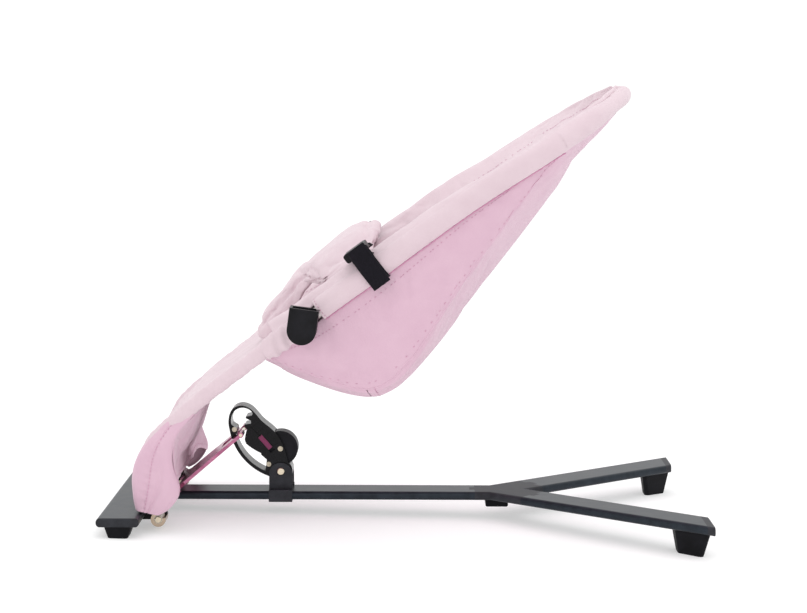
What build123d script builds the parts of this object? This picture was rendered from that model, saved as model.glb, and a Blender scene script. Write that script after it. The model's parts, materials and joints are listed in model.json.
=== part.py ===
from build123d import *
from math import asin, atan2, cos, degrees, hypot, radians, sin, tan
import os

# A baby bouncer seat. Millimetres, +Z up, the sitter faces -X, "left" is the sitter's left, -Y.
# The origin is on the floor, under the middle of the base.

# ---- base: flat bars ----
base_length = 710
crossbar_length = 376
leg_spread = 196.5          # half distance between the rear leg ends, on their centre lines
leg_splay = 39.4            # degrees between the centre beam and each rear leg
bar_width = 50
bar_thick = 10.5
bar_wall = 1.8
bar_round = 4.6
base_rise = 1.35            # degrees that the bars climb towards the rear
plug_length = 28
plug_gap = 0.15
key_width = 14
key_depth = 6
end_cap = 3
rear_cap = 8
hub_front = 27.6            # hub from the branching point forwards
hub_arm = 56                # hub from the branching point along each leg
hub_pad_size = (28, 30, 10)

# ---- feet and screws ----
front_foot_height = 13.7
front_foot = (34, 34)
front_foot_sole = (23, 30)
front_foot_inset = 19
rear_foot = (39, 44)            # along and across the seat, slanted like the leg
rear_foot_sole = (27.5, 28)
rear_foot_inset = 21.5
foot_recess = 2.6
screw_radius = 2
screw_head_radius = 3.6
screw_head = 2.4

# ---- front hinge, measured from the crossbar's centre line and the bars' underside ----
hinge_back = 41
hinge_up = -1.2
hinge_pin_radius = 3
running_gap = 0.05
curl_wall = 4
bush_wall = 1.8
curl_width = 26
lug_thick = 2.5
lug_radius = 6.5
eye_width = 7
side_gap = 0.5

# ---- lever, measured from its pivot ----
pivot_back = 178
pivot_up = 34.5
pivot_radius = 4
lever_width = 30
lever_wall = 3
lever_hub_radius = 14.5
bracket_wall = 2
bracket_gap = 0.3
bracket_length = 28.8
ear_rise = 10.7             # top of the ears above the pivot
notch = (-48.8, 47.4)       # where the strut's cross pin rests
drum_place = (-1.2, 28)
drum_radius = 21.5
drum_width = 23
axle_radius = 2.5
latch_place = (-20.1, 35.3)
latch_slope = -47.7         # degrees, the way the latch slides back
latch_length = 20
latch_width = 6
latch_travel = 4

# ---- strut ----
plate_thick = 4
strut_tip_half = 38
strut_foot_half = 48.5
strut_foot_start = 27
strut_slot = 32             # length of the slot behind the cross pin
cross_pin_radius = 2
eye_radius = 3.3
beam_arch_half = 29
strip_length = 26

# ---- seat frame, measured from the hinge: (back, up) and half width ----
tube_radius = 7
hoop_radius = 8
tube_wall = 1.2
foot_half = 146
hip_half = 178
back_half = 192
head_half = 62
heel_point = (-13.5, 18.5)
toe_point = (-29, 76.5)
calf_point = (50.5, 148.3)
hip_point = (164, 240.5)
shoulder_point = (339, 377)
crown_start = (479, 473.5)
crown_point = (541.5, 514)
toe_bend = 84
crown_bend = 100
head_bend = 200
tube_gap = 1.5              # between the two tubes' ends at the hip
connector_half = 20
connector_radius = 10.6

# ---- toy bar sockets ----
socket_width = 33.5
socket_height = 41
socket_depth = 26
socket_wall = 3
socket_saddle = 4           # how far the cup reaches round the joint sleeve
socket_tilt = 6.3

# ---- soft parts ----
sleeve_radius = 13
head_sleeve_radius = 10.5
leg_sleeve_radius = 8.6
fabric_gap = 0.3
fit_gap = 0.05              # glued or riveted tube in its socket
panel_thick = 4
hem_gap = 9                 # bare joint sleeve between its end and the hoop sleeve's hem
gusset_half = 158
webbing_width = 25
webbing_thick = 1.6
webbing_place = 107         # along the hoop from the hip joint
buckle_size = (28, 32, 11)
buckle_place = 103
buckle_up = 28.5
tab_travel = 2.5
tab_gap = 0.3

# ---- places worked out from the sizes above ----
crossbar_x = -base_length / 2 + bar_width / 2
base = Location((crossbar_x, 0, front_foot_height), (0, -base_rise, 0))
rear_end = base_length - bar_width / 2
hub_x = rear_end - leg_spread / tan(radians(leg_splay))
bush_radius = hinge_pin_radius + bush_wall
curl_radius = bush_radius + curl_wall
lever_half = lever_width / 2
ear_inner = lever_half + 0.6
curl_outer_y = foot_half - tube_radius - 2
curl_inner_y = curl_outer_y - curl_width
outer_lug_y = curl_inner_y - side_gap - lug_thick
eye_y = outer_lug_y - side_gap - eye_width
inner_lug_y = eye_y - side_gap - lug_thick


def point_on_base(back, up):
    spot = (base * Location((back, 0, up))).position
    return spot.X, spot.Z


hinge_x, hinge_z = point_on_base(hinge_back, hinge_up)
pivot_x, pivot_z = point_on_base(pivot_back, pivot_up)
notch_x = pivot_x + notch[0]
notch_z = pivot_z + notch[1]
plate_offset = curl_radius - plate_thick / 2
pin_reach = hypot(notch_x - hinge_x, notch_z - hinge_z)
strut_reach = (pin_reach**2 - plate_offset**2) ** 0.5
strut_slope = degrees(atan2(notch_z - hinge_z, notch_x - hinge_x) - asin(plate_offset / pin_reach))
at_hinge = Location((hinge_x, 0, hinge_z))
at_pivot = Location((pivot_x, 0, pivot_z))
along_strut = Location((hinge_x, 0, hinge_z), (0, -strut_slope, 0))


def save(name, *solids):
    shape = solids[0] if len(solids) == 1 else Compound(children=list(solids))
    export_step(shape, f"parts/{name}.step")


def mirrored(shape):
    return mirror(shape, about=Plane.XZ)


def rod(radius, low_y, high_y, x=0, z=0):
    """A cylinder along Y."""
    length = high_y - low_y
    return Pos(x, (low_y + high_y) / 2, z) * Rot(90, 0, 0) * Cylinder(radius, length)


def block(x, y, z):
    """A box from three (low, high) pairs."""
    size = [pair[1] - pair[0] for pair in (x, y, z)]
    middle = [(pair[1] + pair[0]) / 2 for pair in (x, y, z)]
    return Pos(*middle) * Box(*size)


def side_face(*edges):
    """A face in the XZ plane from edges drawn as (x, 0, z)."""
    return Face(Wire(edges))


def side_points(points):
    return [(x, 0, z) for x, z in points]


def side_prism(face, low_y, high_y):
    return Pos(0, low_y, 0) * extrude(face, amount=high_y - low_y, dir=(0, 1, 0))


def side_polygon(points, low_y, high_y):
    return side_prism(side_face(*Polyline(*side_points(points), close=True).edges()), low_y, high_y)


# ---------------------------------------------------------------- flat bars
def bar(length, inset=0.0):
    """A flat bar along +X from x = 0 with its underside on z = 0."""
    section = RectangleRounded(bar_width - 2 * inset, bar_thick - 2 * inset, bar_round - inset)
    return extrude(Plane.YZ * Pos(0, bar_thick / 2) * section, length)


def hollow_bar(length):
    return bar(length) - bar(length, bar_wall)


def plug(length):
    return bar(length, bar_wall + plug_gap)


def top_key(gap=0.0):
    """The tongue of the hub that shows in a bar's top wall."""
    width = key_width / 2 + gap
    return block((0, key_depth + gap), (-width, width), (bar_thick - bar_wall - gap, bar_thick))


def screw_places():
    """Screws that come up through the bars' underside, as (x, y) on the base."""
    beam_ends = [(bar_width / 2 + 18, 0), (hub_x - hub_front - 14, 0)]
    arm = hub_arm + 14
    splay = radians(leg_splay)
    legs = [(hub_x + arm * cos(splay), side * arm * sin(splay)) for side in (-1, 1)]
    return beam_ends + legs


def front_foot_places():
    reach = crossbar_length / 2 - front_foot_inset
    return [(0, -reach), (0, reach)]


def rear_foot_places():
    back = rear_end - rear_foot_inset
    reach = (back - hub_x) * tan(radians(leg_splay))
    return [(back, -reach), (back, reach)]


def hinge_screw_places():
    middle = (inner_lug_y + outer_lug_y + lug_thick) / 2
    return [(0, -middle), (0, middle)]


def screw(x, y, low, high):
    """A pan head screw, head down, from z = low to z = high."""
    head = Pos(x, y, low + screw_head / 2) * Cylinder(screw_head_radius, screw_head)
    shank = Pos(x, y, (low + high) / 2) * Cylinder(screw_radius, high - low)
    return head + shank


def screw_hole(x, y, low, high, radius=screw_radius):
    return Pos(x, y, (low + high) / 2) * Cylinder(radius, high - low)


def make_crossbar():
    length = crossbar_length - 2 * end_cap
    crossbar = Rot(0, 0, 90) * Pos(-length / 2, 0, 0) * hollow_bar(length)
    for x, y in front_foot_places() + hinge_screw_places():
        crossbar -= screw_hole(x, y, -1, bar_wall + 1)
    return crossbar


def make_crossbar_cap():
    plate = bar(end_cap)
    plate = fillet(plate.faces().sort_by(Axis.X)[-1].edges(), 1.4)
    cap = plate + Pos(-plug_length / 2, 0, 0) * plug(plug_length / 2)
    return Pos(0, crossbar_length / 2 - end_cap, 0) * Rot(0, 0, 90) * cap


def make_beam():
    start = bar_width / 2 + bar_wall
    end = hub_x - hub_front
    beam = Pos(start, 0, 0) * hollow_bar(end - start)
    beam -= Pos(end - key_depth - plug_gap, 0, 0) * top_key(plug_gap)
    for x, y in screw_places()[:2]:
        beam -= screw_hole(x, y, -1, bar_wall + 0.5)
    return beam


def make_beam_socket():
    """Joins the beam to the crossbar: a saddle on the crossbar and a tongue in the beam."""
    start = bar_width / 2 + bar_wall
    saddle = Pos(bar_width / 2 - bar_round, 0, 0) * bar(start - bar_width / 2 + bar_round)
    saddle -= Rot(0, 0, 90) * Pos(-bar_width, 0, 0) * bar(2 * bar_width)
    socket = saddle + Pos(start, 0, 0) * plug(plug_length)
    x, y = screw_places()[0]
    return socket - screw_hole(x, y, -1, bar_thick / 2)


def leg_location(side, distance=0.0):
    return Pos(hub_x, 0, 0) * Rot(0, 0, side * leg_splay) * Pos(distance, 0, 0)


def rear_slice(start, end):
    return block((start, end), (-2 * leg_spread, 2 * leg_spread), (-5, bar_thick + 5))


def make_hub():
    hub = Pos(hub_x - hub_front, 0, 0) * bar(hub_front)
    hub += Pos(hub_x - hub_front - key_depth, 0, 0) * top_key()
    hub += Pos(hub_x - hub_front - plug_length, 0, 0) * plug(plug_length)
    for side in (-1, 1):
        hub += leg_location(side) * bar(hub_arm)
        hub += leg_location(side, hub_arm) * (plug(plug_length) + top_key())
    for x, y in screw_places()[1:]:
        hub -= screw_hole(x, y, -1, bar_thick / 2)
    return hub


def make_hub_pad():
    length, width, height = hub_pad_size
    pad = Pos(hub_x, 0, -height / 2) * Box(length, width, height)
    return fillet(pad.faces().sort_by(Axis.Z)[0].edges(), 3)


def make_leg(side):
    reach = 2 * leg_spread / sin(radians(leg_splay))
    leg = leg_location(side, hub_arm) * hollow_bar(reach)
    leg -= leg_location(side, hub_arm) * top_key(plug_gap)
    leg = leg & rear_slice(hub_x, rear_end - rear_cap)
    leg_screw = screw_places()[2 if side < 0 else 3]
    foot_screw = rear_foot_places()[0 if side < 0 else 1]
    for x, y in (leg_screw, foot_screw):
        leg -= screw_hole(x, y, -1, bar_wall + 0.5)
    return leg


def make_leg_cap(side):
    reach = 2 * leg_spread / sin(radians(leg_splay))
    cover = leg_location(side) * bar(reach) & rear_slice(rear_end - rear_cap, rear_end)
    tongue = leg_location(side) * plug(reach)
    tongue = tongue & rear_slice(rear_end - rear_cap - plug_length / 3, rear_end - rear_cap)
    return cover + tongue


def foot_outline(size, slant):
    """A block's outline whose sides lean by slant, the sideways shift per millimetre back."""
    length, width = size
    corners = [(-1, -1), (1, -1), (1, 1), (-1, 1)]
    points = [(i * length / 2, j * width / 2 + i * slant * length / 2) for i, j in corners]
    face = make_face(Polyline(*points, close=True))
    return fillet(face.vertices(), 4)


def make_foot(place, top, sole, slant=0.0):
    """A tapered block whose top meets the sloping bar and whose sole is on the floor."""
    x, y = place
    spot = (base * Location((x, y, 0))).position
    height = spot.Z
    lower = foot_outline(sole, slant).face()
    upper = (Pos(0, 0, height + 2) * foot_outline(top, slant)).face()
    foot = Pos(spot.X, spot.Y, 0) * loft([lower, upper])
    foot = foot - base * block((x - 60, x + 60), (y - 60, y + 60), (0, 20))
    well = Pos(spot.X, spot.Y, foot_recess / 2) * Cylinder(screw_head_radius + 0.6, foot_recess)
    screw_low = foot_recess - height
    seat = base * screw_hole(x, y, screw_low, screw_low + screw_head, screw_head_radius)
    return foot - well - seat - base * screw_hole(x, y, -height, 1)


def make_base_screws():
    screws = []
    for x, y in screw_places():
        screws.append(base * screw(x, y, -screw_head, bar_thick / 2))
    for x, y in hinge_screw_places():
        screws.append(base * screw(x, y, -lug_thick - screw_head, bar_wall + 1))
    for x, y in front_foot_places() + rear_foot_places():
        height = (base * Location((x, y, 0))).position.Z
        screws.append(base * screw(x, y, foot_recess - height, bar_wall + 0.5))
    return screws


# ---------------------------------------------------------------- lever bracket
def make_bracket():
    outer = bar_width / 2 + bracket_gap + bracket_wall
    low = -bracket_gap - bracket_wall
    shelf = bar_thick + bracket_gap
    top = pivot_up + ear_rise
    half = bracket_length / 2
    span = (-half, half)
    floor = block(span, (-outer, outer), (low, low + bracket_wall))
    floor = fillet(floor.edges().filter_by(Axis.X).sort_by(Axis.Z)[:2], 1.5)
    bracket = floor
    for side in (-1, 1):
        wall = sorted((side * (outer - bracket_wall), side * outer))
        ledge = sorted((side * ear_inner, side * outer))
        ear = sorted((side * ear_inner, side * (ear_inner + bracket_wall)))
        bracket += block(span, wall, (low + 1, shelf + bracket_wall))
        bracket += block(span, ledge, (shelf, shelf + bracket_wall))
        bracket += block(span, ear, (shelf, top - half))
        bracket += rod(half, *ear, z=top - half)
    bracket -= rod(pivot_radius, -outer, outer, z=pivot_up)
    return Pos(pivot_back, 0, 0) * bracket


def make_pivot_pin():
    reach = ear_inner + bracket_wall
    pin = rod(pivot_radius, -reach, reach)
    for side in (-1, 1):
        head = rod(4.9, 0, 2.4)
        head = fillet(head.edges().group_by(Axis.Y)[-1], 2)
        head = head if side > 0 else mirrored(head)
        pin += Pos(0, side * reach, 0) * head
    return at_pivot * pin


# ---------------------------------------------------------------- front hinge
def make_hinge_bracket():
    """Two lugs under the crossbar that hold one hinge pin, on the +Y side."""
    local_x, local_z = hinge_back, hinge_up
    plate = block((-14, 14), (inner_lug_y, outer_lug_y + lug_thick), (-lug_thick, 0))
    bracket = plate
    for low_y in (inner_lug_y, outer_lug_y):
        high_y = low_y + lug_thick
        arm = block((-14, local_x), (low_y, high_y), (-lug_radius, -0.05))
        lug = arm + rod(lug_radius, low_y, high_y, local_x, local_z)
        bracket += lug
    bracket -= rod(hinge_pin_radius, inner_lug_y - 1, outer_lug_y + lug_thick + 1, local_x, local_z)
    x, y = hinge_screw_places()[1]
    return base * (bracket - screw_hole(x, y, -lug_thick - 1, 0.5))


def make_hinge_pin():
    pin = rod(hinge_pin_radius, inner_lug_y - 1, curl_outer_y + 1.6)
    head = rod(hinge_pin_radius + 1, curl_outer_y + 0.4, curl_outer_y + 2)
    head = fillet(head.edges().group_by(Axis.Y)[-1], 1)
    return at_hinge * (pin + head)


def make_bush():
    bore = hinge_pin_radius + running_gap
    low, high = curl_inner_y, curl_outer_y
    return at_hinge * (rod(bush_radius, low, high) - rod(bore, low - 1, high + 1))


# ---------------------------------------------------------------- strut
def make_curl():
    low, high = curl_inner_y, curl_outer_y
    curl = rod(curl_radius, low, high) - rod(bush_radius, low - 1, high + 1)
    mouth = [(0, 0), (2 * curl_radius, -curl_radius), (2 * curl_radius, curl_radius), (0, curl_radius)]
    gap = side_polygon(mouth, low - 1, high + 1) & rod(2 * curl_radius, low - 1, high + 1)
    return curl - gap


def strut_outline():
    """Half outline of the plate: distance along the strut and half width."""
    return [
        (0, curl_inner_y), (0, curl_outer_y), (strip_length / 3, curl_outer_y),
        (strip_length, strut_foot_half + 12), (strut_foot_start + 6, strut_foot_half),
        (strut_reach, strut_tip_half), (strut_reach, lever_half + 1.4),
        (strut_reach - strut_slot, lever_half + 1.4), (strut_reach - strut_slot, 0),
        (strip_length - 2, 0), (strip_length - 2, beam_arch_half - 8),
        (strip_length - 10, beam_arch_half), (strip_length / 2, curl_inner_y),
    ]


def make_strut():
    outline = Polyline(*[(s, y) for s, y in strut_outline()], close=True)
    half = extrude(make_face(outline), plate_thick)
    half = Pos(0, 0, plate_offset - plate_thick / 2) * half
    half += make_curl()
    eye = rod(eye_radius, lever_half + 1.4, strut_tip_half, strut_reach, plate_offset)
    half += eye
    half -= rod(cross_pin_radius, 0, strut_tip_half + 1, strut_reach, plate_offset)
    return along_strut * (half + mirrored(half))


def make_cross_pin():
    return along_strut * rod(cross_pin_radius, -strut_tip_half, strut_tip_half, strut_reach, plate_offset)


# ---------------------------------------------------------------- lever
ring_back = [
    (-64.9, 51.8), (-65.8, 65), (-60.2, 77.2), (-50, 80.6), (-38, 76), (-25.1, 62.5),
    (-12.3, 52.3), (-2.2, 40.8), (5.4, 23.7), (8.4, 11.82),
]
ring_inside = [(-62, 56.3), (-62.4, 66), (-57, 75.2), (-49.5, 77.9), (-41.5, 76.2), (-36.3, 71.5)]
teeth = [
    (-36.3, 71.5), (-37, 68.8), (-44.6, 67), (-44.9, 65), (-38.4, 62), (-38.2, 58.6),
    (-46, 57.2), (-46.6, 55), (-43.2, 51.2), (-44.6, 45), (-45.6, 38.2), (-43.8, 33.2),
]
belly = [(-43.8, 33.2), (-34.5, 26.6), (-25.2, 21.9)]
heel = [(-25.2, 21.9), (-24.7, 19.7), (-17.8, 13.9), (-18.4, 6), (-19.2, -0.3)]
lip = [(-57.2, 40.5), (-54.6, 48), (-57, 52.8), (-62, 56.3)]
cavity = [
    (-33, 65.5), (-24.5, 57.5), (-12.5, 48.3), (-5, 39.3), (2, 23), (3, 17.5), (-9, 17),
    (-22, 25), (-33, 31), (-41, 38), (-40, 47), (-34.5, 56),
]
side_pocket = [
    (-33.5, 65), (-30, 64), (-21.5, 54), (-12, 46.5), (-6.5, 38), (-4.5, 34.5), (-10.5, 31.3),
    (-30, 45.5), (-38.5, 54), (-35.5, 58.5),
]


def lever_outline():
    bow_start = (-12.4, 0, -7.52)
    bow = ThreePointArc(bow_start, (-46.7, 0, 14.1), (-64.9, 0, 51.8))
    back = Spline(*side_points(ring_back))
    hub = ThreePointArc(back @ 1, (lever_hub_radius * 0.7071, 0, -lever_hub_radius * 0.7071), bow_start)
    return side_face(bow, back, hub)


def lever_window():
    """The opening that the cross pin runs in: the ring, the three notches and the bow's slot."""
    bow = ThreePointArc((heel[-1][0], 0, heel[-1][1]), (-43.9, 0, 17.2), (lip[0][0], 0, lip[0][1]))
    left = Polyline(*side_points(lip))
    ring = Spline(*side_points(ring_inside))
    steps = Polyline(*side_points(teeth))
    under = Spline(*side_points(belly))
    down = Polyline(*side_points(heel))
    return side_face(bow, *left.edges(), ring, *steps.edges(), under, *down.edges())


def latch_bar(length, width, low_y, high_y, shift=0.0):
    """A bar along the latch's slide, placed from the lever's pivot."""
    bar_shape = block((shift - length / 2, shift + length / 2), (low_y, high_y), (-width / 2, width / 2))
    return Pos(latch_place[0], 0, latch_place[1]) * Rot(0, -latch_slope, 0) * bar_shape


def pocket_ribs():
    """Short ribs across the recess in the shell's side."""
    ribs = None
    for step in range(4):
        rib = block((-9, 9), (lever_half - 1.4, lever_half - 0.2), (-0.6, 0.6))
        rib = Pos(-31 + 7 * step, 0, 57.5 - 6.2 * step) * Rot(0, -42, 0) * rib
        ribs = rib if ribs is None else ribs + rib
    return ribs


def lever_screw_places():
    return [(-15.2, 8.2), (-58.5, 50.5)]


def make_lever_shell():
    """One half of the lever's casing, on the +Y side."""
    inside = lever_half - lever_wall
    shell = side_prism(lever_outline(), 0, lever_half)
    shell -= side_prism(lever_window(), -1, lever_half + 1)
    shell -= side_polygon(cavity, -1, inside)
    recess = side_polygon(side_pocket, lever_half - 1.4, lever_half + 1)
    ribs = pocket_ribs() & side_polygon(side_pocket, 0, lever_half)
    shell = shell - recess + ribs
    shell -= rod(drum_radius + 0.7, -1, drum_width / 2 + 0.5, *drum_place)
    slot = latch_bar(latch_length + latch_travel + 0.8, latch_width + 0.6, inside - 1, lever_half + 1, latch_travel / 2)
    shell -= slot
    shell -= rod(pivot_radius + running_gap, -1, lever_half + 1)
    shell -= rod(axle_radius, -1, lever_half + 1, *drum_place)
    for x, z in lever_screw_places():
        shell -= rod(screw_radius, -1, lever_half - 1, x, z)
        shell -= rod(3, lever_half - 1, lever_half + 1, x, z)
    return at_pivot * shell


def make_lever_screws():
    screws = []
    for x, z in lever_screw_places():
        body = rod(screw_radius, -lever_half + 1, lever_half - 1, x, z)
        heads = rod(3, lever_half - 1, lever_half + 0.2, x, z)
        screws.append(at_pivot * (body + heads + mirrored(heads)))
    return screws


def make_drum():
    half = drum_width / 2
    drum = rod(drum_radius, -half, half)
    drum = fillet(drum.edges().group_by(Axis.Y)[0] + drum.edges().group_by(Axis.Y)[-1], 1)
    for side in (-1, 1):
        dish = rod(drum_radius - 3, half - 0.8, half + 1)
        drum -= dish if side > 0 else mirrored(dish)
    drum -= rod(axle_radius + running_gap, -half - 1, half + 1)
    return at_pivot * Pos(drum_place[0], 0, drum_place[1]) * drum


def make_drum_axle():
    reach = lever_half
    axle = rod(axle_radius, -reach, reach)
    head = rod(3.2, reach, reach + 0.5)
    return at_pivot * Pos(drum_place[0], 0, drum_place[1]) * (axle + head + mirrored(head))


def make_latch():
    """Two side rails in the shells' slots, joined by a bar in front of the drum, with a nose rod."""
    inside = lever_half - lever_wall + 0.3
    outside = lever_half - 0.8
    rail = latch_bar(latch_length, latch_width, inside, outside)
    front = -latch_length / 2
    bridge = latch_bar(3, latch_width, -outside, outside, front + 1.5)
    nose = latch_bar(9, 2.8, -3, 3, front - 4.5)
    return at_pivot * (rail + mirrored(rail) + bridge + nose)


def make_latch_spring():
    """A flat wave spring beside the nose, drawn as the sleeve it fills."""
    front = -latch_length / 2
    outer = latch_bar(7, 6.4, -6, 6, front - 4.5)
    inner = latch_bar(9, 4, -4, 4, front - 4.5)
    return at_pivot * (outer - inner)


# ---------------------------------------------------------------- seat frame
def seat_point(side_point, half):
    return (hinge_x + side_point[0], half, hinge_z + side_point[1])


def leg_path():
    """Centre line of one lower tube on the +Y side, from the heel to the hip."""
    points = [
        seat_point(heel_point, foot_half), seat_point(toe_point, foot_half + 2),
        seat_point(calf_point, foot_half + 10), seat_point(hip_point, hip_half),
    ]
    return FilletPolyline(*points, radius=[toe_bend, 300])


def crown_corners():
    return [
        seat_point(crown_start, back_half), seat_point(crown_point, head_half),
        seat_point(crown_point, -head_half), seat_point(crown_start, -back_half),
    ]


def hoop_path():
    """Centre line of the hoop from hip to hip over the head."""
    start = hip_plane(tube_gap).origin
    side = [start, seat_point(shoulder_point, back_half)]
    other = [seat_point(shoulder_point, -back_half), (start.X, -start.Y, start.Z)]
    radii = [600, crown_bend, head_bend, head_bend, crown_bend, 600]
    return FilletPolyline(*side, *crown_corners(), *other, radius=radii)


def pipe(path, radius, bore=0.0):
    plane = Plane(origin=path @ 0, z_dir=path % 0)
    section = Circle(radius)
    if bore:
        section = section - Circle(bore)
    return sweep(plane * section, path=path)


def hip_plane(shift=0.0):
    """A plane across the hoop's first run, shift along it from the hip joint."""
    start = Vector(*seat_point(hip_point, hip_half))
    end = Vector(*seat_point(shoulder_point, back_half))
    along = (end - start).normalized()
    return Plane(origin=start + along * shift, z_dir=along)


def hip_rod(radius, low, high):
    return hip_plane(low) * Pos(0, 0, (high - low) / 2) * Cylinder(radius, high - low)


def on_hoop(shift):
    """Axes on the hoop's first run: x along the tube, y to the side, z square to the seat."""
    across = hip_plane(shift)
    along = across.z_dir
    side = (Vector(0, 1, 0) - along * along.Y).normalized()
    return Plane(origin=across.origin, x_dir=along, z_dir=along.cross(side))


def make_leg_tube():
    tube = pipe(leg_path(), tube_radius, tube_radius - tube_wall)
    return tube


def make_hoop():
    return pipe(hoop_path(), hoop_radius, hoop_radius - tube_wall)


def make_connector():
    """A joint sleeve that both tubes push into at the hip, on the +Y side."""
    half = connector_half
    outside = hip_rod(connector_radius, 0, half) + hip_leg_rod(connector_radius, half, 0)
    upper_bore = hip_rod(hoop_radius + fit_gap, tube_gap, half + 1)
    lower_bore = hip_leg_rod(tube_radius + fit_gap, half + 1, 0)
    screw_bore = socket_location() * rod(screw_radius, 0, connector_radius + 5)
    return outside + Pos(*hip_joint()) * Sphere(connector_radius) - upper_bore - lower_bore - screw_bore


def hip_joint():
    return seat_point(hip_point, hip_half)


def hip_leg_rod(radius, low, high):
    """A cylinder on the leg tube's last run, from low to high before the hip joint."""
    end = leg_path() @ 1
    along = (leg_path() % 1).normalized()
    length = low - high
    return Plane(origin=end - along * low, z_dir=along) * Pos(0, 0, length / 2) * Cylinder(radius, length)


def socket_shape(inset, top, low_y, high_y):
    """A U outline: flat top, straight sides, round bottom."""
    half = socket_width / 2 - inset
    bottom_centre = -socket_height / 2 + socket_width / 2
    sides = Polyline((half, 0, bottom_centre), (half, 0, top), (-half, 0, top), (-half, 0, bottom_centre))
    bottom = ThreePointArc((-half, 0, bottom_centre), (0, 0, bottom_centre - half), (half, 0, bottom_centre))
    return side_prism(side_face(*sides.edges(), bottom), low_y, high_y)


def socket_location():
    x, y, z = seat_point(hip_point, hip_half)
    return Location((x + 5, y, z + 1), (0, socket_tilt, 0))


def make_toy_socket():
    """A cup for the toy bar on the outside of the hip joint, on the +Y side."""
    inner = connector_radius
    top = socket_height / 2
    cup = socket_shape(0, top, inner - socket_saddle, inner + socket_depth)
    cup = fillet(cup.faces().sort_by(Axis.Y)[-1].edges(), 1.5)
    cup -= socket_shape(socket_wall, top + 1, inner + socket_wall, inner + socket_depth - socket_wall)
    cup = socket_location() * (cup - rod(screw_radius, 0, inner + socket_wall + 1))
    reach = 3 * connector_half
    joint = Pos(*hip_joint()) * Sphere(connector_radius + fit_gap)
    cup -= hip_rod(connector_radius + fit_gap, 0, reach)
    cup -= hip_leg_rod(connector_radius + fit_gap, reach, 0)
    cup -= hip_rod(sleeve_radius + fabric_gap, connector_half + hem_gap - fabric_gap, reach)
    return (cup - joint).solids().sort_by(SortBy.VOLUME)[-1]


def make_socket_screw():
    inner = connector_radius
    shank = rod(screw_radius, hoop_radius + 0.6, inner + socket_wall)
    head = rod(screw_head_radius, inner + socket_wall, inner + socket_wall + screw_head)
    return socket_location() * (shank + head)


def make_knuckle():
    """The eye on the hinge pin, an arm across to the tube and a cup that holds it, on the +Y side."""
    x, z = heel_point
    bar_low = z - 4.5
    eye = rod(7.4, eye_y, eye_y + eye_width)
    link = side_polygon([(-6, -4), (6, 4), (x + 7, bar_low + 8), (x - 3, bar_low)], eye_y, eye_y + eye_width)
    arm = block((x - 4, x + 5), (eye_y, foot_half), (bar_low, bar_low + 9))
    knuckle = at_hinge * (eye + link + arm)
    path = leg_path()
    plane = Plane(origin=path @ 0, z_dir=path % 0)
    knuckle += plane * Pos(0, 0, 7.5) * Cylinder(tube_radius + 1.8, 14)
    knuckle -= pipe(path, tube_radius + fit_gap)
    return knuckle - at_hinge * rod(hinge_pin_radius + running_gap, 0, foot_half)


def make_knuckle_rivet():
    path = leg_path()
    spot = path @ 0 + (path % 0) * 8
    reach = tube_radius + 1.8
    rivet = rod(2, -reach - 0.8, reach + 0.8)
    return Pos(spot.X, spot.Y, spot.Z) * rivet


def drill_rivet(shape):
    path = leg_path()
    spot = path @ 0 + (path % 0) * 8
    return shape - Pos(spot.X, spot.Y, spot.Z) * rod(2, -20, 20)


# ---------------------------------------------------------------- soft parts
def make_side_sleeve():
    """Padded sleeve on one side of the hoop, from above the hip to the crown's bend."""
    start = hip_plane(connector_half + hem_gap).origin
    shoulder = Vector(*seat_point(shoulder_point, back_half))
    crown = Vector(*seat_point(crown_start, back_half))
    end = shoulder + (crown - shoulder) * 0.55
    path = FilletPolyline(start, shoulder, end, radius=[600])
    return pipe(path, sleeve_radius, hoop_radius + fabric_gap)


def make_head_sleeve():
    shoulder = Vector(*seat_point(shoulder_point, back_half))
    crown = Vector(*seat_point(crown_start, back_half))
    start = shoulder + (crown - shoulder) * 0.56
    end = Vector(start.X, -start.Y, start.Z)
    radii = [crown_bend, head_bend, head_bend, crown_bend]
    path = FilletPolyline(start, *crown_corners(), end, radius=radii)
    return pipe(path, head_sleeve_radius, hoop_radius + fabric_gap)


def leg_line(share):
    """A point on the tube's run between calf and hip."""
    low = Vector(*seat_point(calf_point, foot_half + 10))
    high = Vector(*seat_point(hip_point, hip_half))
    return low + (high - low) * share


def make_leg_sleeve():
    path = Line(leg_line(0.14), leg_line(0.8))
    return pipe(path, leg_sleeve_radius, tube_radius + fabric_gap)


def foot_profile(inset):
    """Round front, straight back: the end view of the padded foot end."""
    front = ThreePointArc((22 - inset / 2, 0, 124 - 1.4 * inset), (-27 + inset, 0, 66), (-27 + inset, 0, 32 + inset))
    low = (14 - inset, 32 + inset)
    high = (33 - inset, 112)
    rest = Polyline((-27 + inset, 0, 32 + inset), (low[0], 0, low[1]), (high[0], 0, high[1]), front @ 0)
    return side_face(front, *rest.edges())


def make_foot_cover():
    half = foot_half - tube_radius - 5
    shell = side_prism(foot_profile(0), -half, half)
    hollow = side_prism(foot_profile(2.5), -half - 1, half + 1)
    return at_hinge * (shell - hollow)


def flat_panel(start, end, start_half, end_half, thick=panel_thick):
    """A tapered slab between two lines across the seat, given as (back, up)."""
    corners = [
        seat_point(start, -start_half), seat_point(start, start_half),
        seat_point(end, end_half), seat_point(end, -end_half),
    ]
    face = Face(Wire(Polyline(*corners, close=True).edges()))
    run = Vector(end[0] - start[0], 0, end[1] - start[1]).normalized()
    down = Vector(run.Z, 0, -run.X)
    return extrude(face, amount=thick, dir=down)


def make_leg_panel():
    return flat_panel((37, 132), (124, 204), foot_half - 8, hip_half - 22)


def make_pocket_base():
    return flat_panel((128, 200), (247, 157), gusset_half - 2, gusset_half - 8)


back_line = [
    (251, 153), (262, 155), (272, 161), (291, 181), (324, 230), (391, 332), (461, 429),
    (488, 465), (503, 479), (526, 495),
]


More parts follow.
